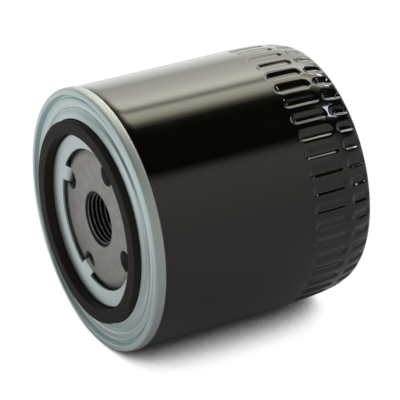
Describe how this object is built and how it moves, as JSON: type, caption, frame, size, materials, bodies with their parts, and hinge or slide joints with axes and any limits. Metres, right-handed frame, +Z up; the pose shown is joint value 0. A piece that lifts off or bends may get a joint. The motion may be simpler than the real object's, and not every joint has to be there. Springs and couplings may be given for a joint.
{
  "type": "spin-on oil filter",
  "caption": "Cylindrical spin-on oil filter with a rolled steel lid, square-section sealing ring, threaded base plate with inlet slots and a fluted closed end.",
  "frame": {"origin": "centre of the bounding box, on the filter's axis", "axes": "the filter lies on its side: its axis is Y, the gasket face looks along -Y, the closed end points along +Y, and +Z is up"},
  "size_m": [0.093, 0.091, 0.093],
  "materials": {
    "black_paint": "gloss black paint",
    "zinc_plate": "bright zinc plate, slightly blue",
    "raw_steel": "bare steel, fine matte grain",
    "gasket_rubber": "matte black moulded rubber",
    "valve_rubber": "smooth black rubber",
    "seam_sealant": "dull grey compound",
    "tin_plate": "bright tinned sheet",
    "potting": "amber adhesive",
    "filter_paper": "resin-treated paper",
    "spring_steel": "dark spring steel"
  },
  "bodies": {
    "housing": {"can": "black_paint", "seaming_lid": "zinc_plate", "mounting_gasket": "gasket_rubber", "base_plate": "raw_steel", "seam_sealant_ring": "seam_sealant", "anti_drain_valve": "valve_rubber", "front_end_cap": "tin_plate", "front_potting": "potting", "pleated_media": "filter_paper", "media_seam_clip": "tin_plate", "centre_tube": "tin_plate", "rear_potting": "potting", "rear_end_cap": "tin_plate", "bypass_cage": "tin_plate", "bypass_spring": "spring_steel", "bypass_seat": "tin_plate", "element_spring": "spring_steel"},
    "bypass_valve": {"bypass_disc": "tin_plate", "bypass_seal": "valve_rubber"}
  },
  "joints": [
    {"name": "bypass_open", "type": "slide", "parent": "housing", "child": "bypass_valve", "axis": [0, -1, 0], "range_m": [0, 0.0035], "stiffness_N_per_m": 2500, "springref_m": -0.0052, "deforming": ["bypass_spring"]}
  ]
}
